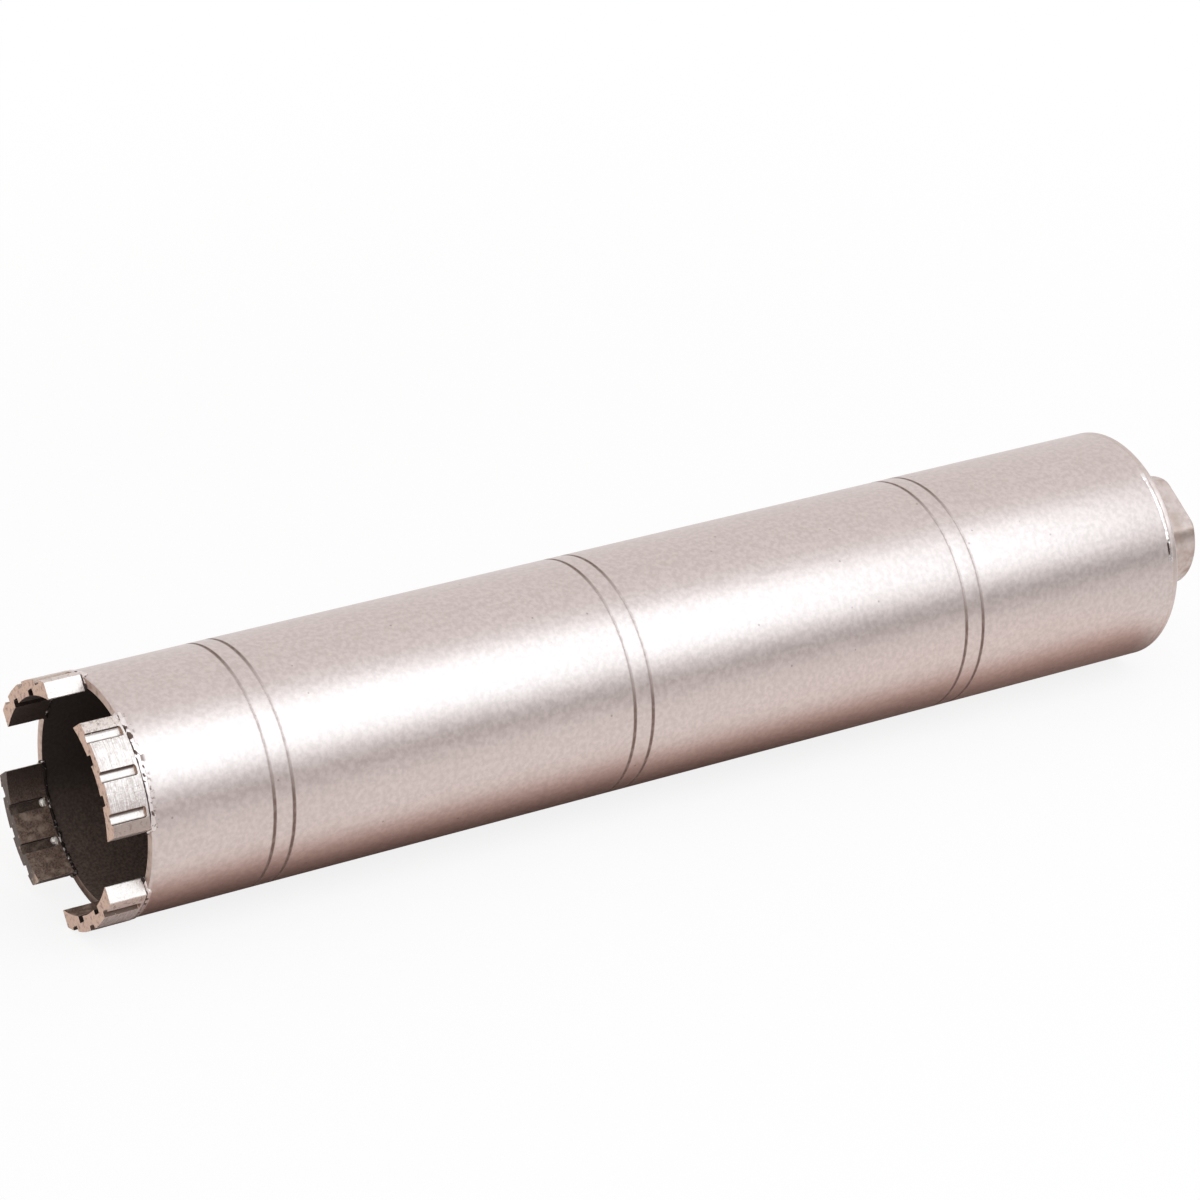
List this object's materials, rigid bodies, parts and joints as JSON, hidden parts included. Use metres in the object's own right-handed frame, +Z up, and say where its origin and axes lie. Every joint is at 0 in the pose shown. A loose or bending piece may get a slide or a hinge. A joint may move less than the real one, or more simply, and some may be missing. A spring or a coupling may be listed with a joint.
{
  "type": "diamond core bit",
  "caption": "Diamond core bit: a long thin steel tube with grooved diamond segments round its open mouth, paired depth lines, and a threaded hub with wrench flats.",
  "frame": {"origin": "on the plane that the bit lies on, under the middle of its overall length", "axes": "+X along the tube from the mouth to the hub, +Z up"},
  "size_m": [0.2788, 0.0508, 0.0508],
  "materials": {
    "tube_steel": "satin steel tube, evenly ground, a warm silver grey",
    "hub_steel": "turned steel, satin, a little darker than the tube",
    "weld_metal": "bright uneven weld bead",
    "diamond_segment": "sintered metal with diamond grit, bright pressed sides and a rough tan front face",
    "braze_metal": "bright lumpy braze with dark pits"
  },
  "bodies": {
    "root": {"barrel": "tube_steel", "hub": "hub_steel", "hub_weld": "weld_metal", "segment_1": "diamond_segment", "segment_2": "diamond_segment", "segment_3": "diamond_segment", "segment_4": "diamond_segment", "segment_braze_1": "braze_metal", "segment_braze_2": "braze_metal", "segment_braze_3": "braze_metal", "segment_braze_4": "braze_metal"}
  },
  "joints": []
}
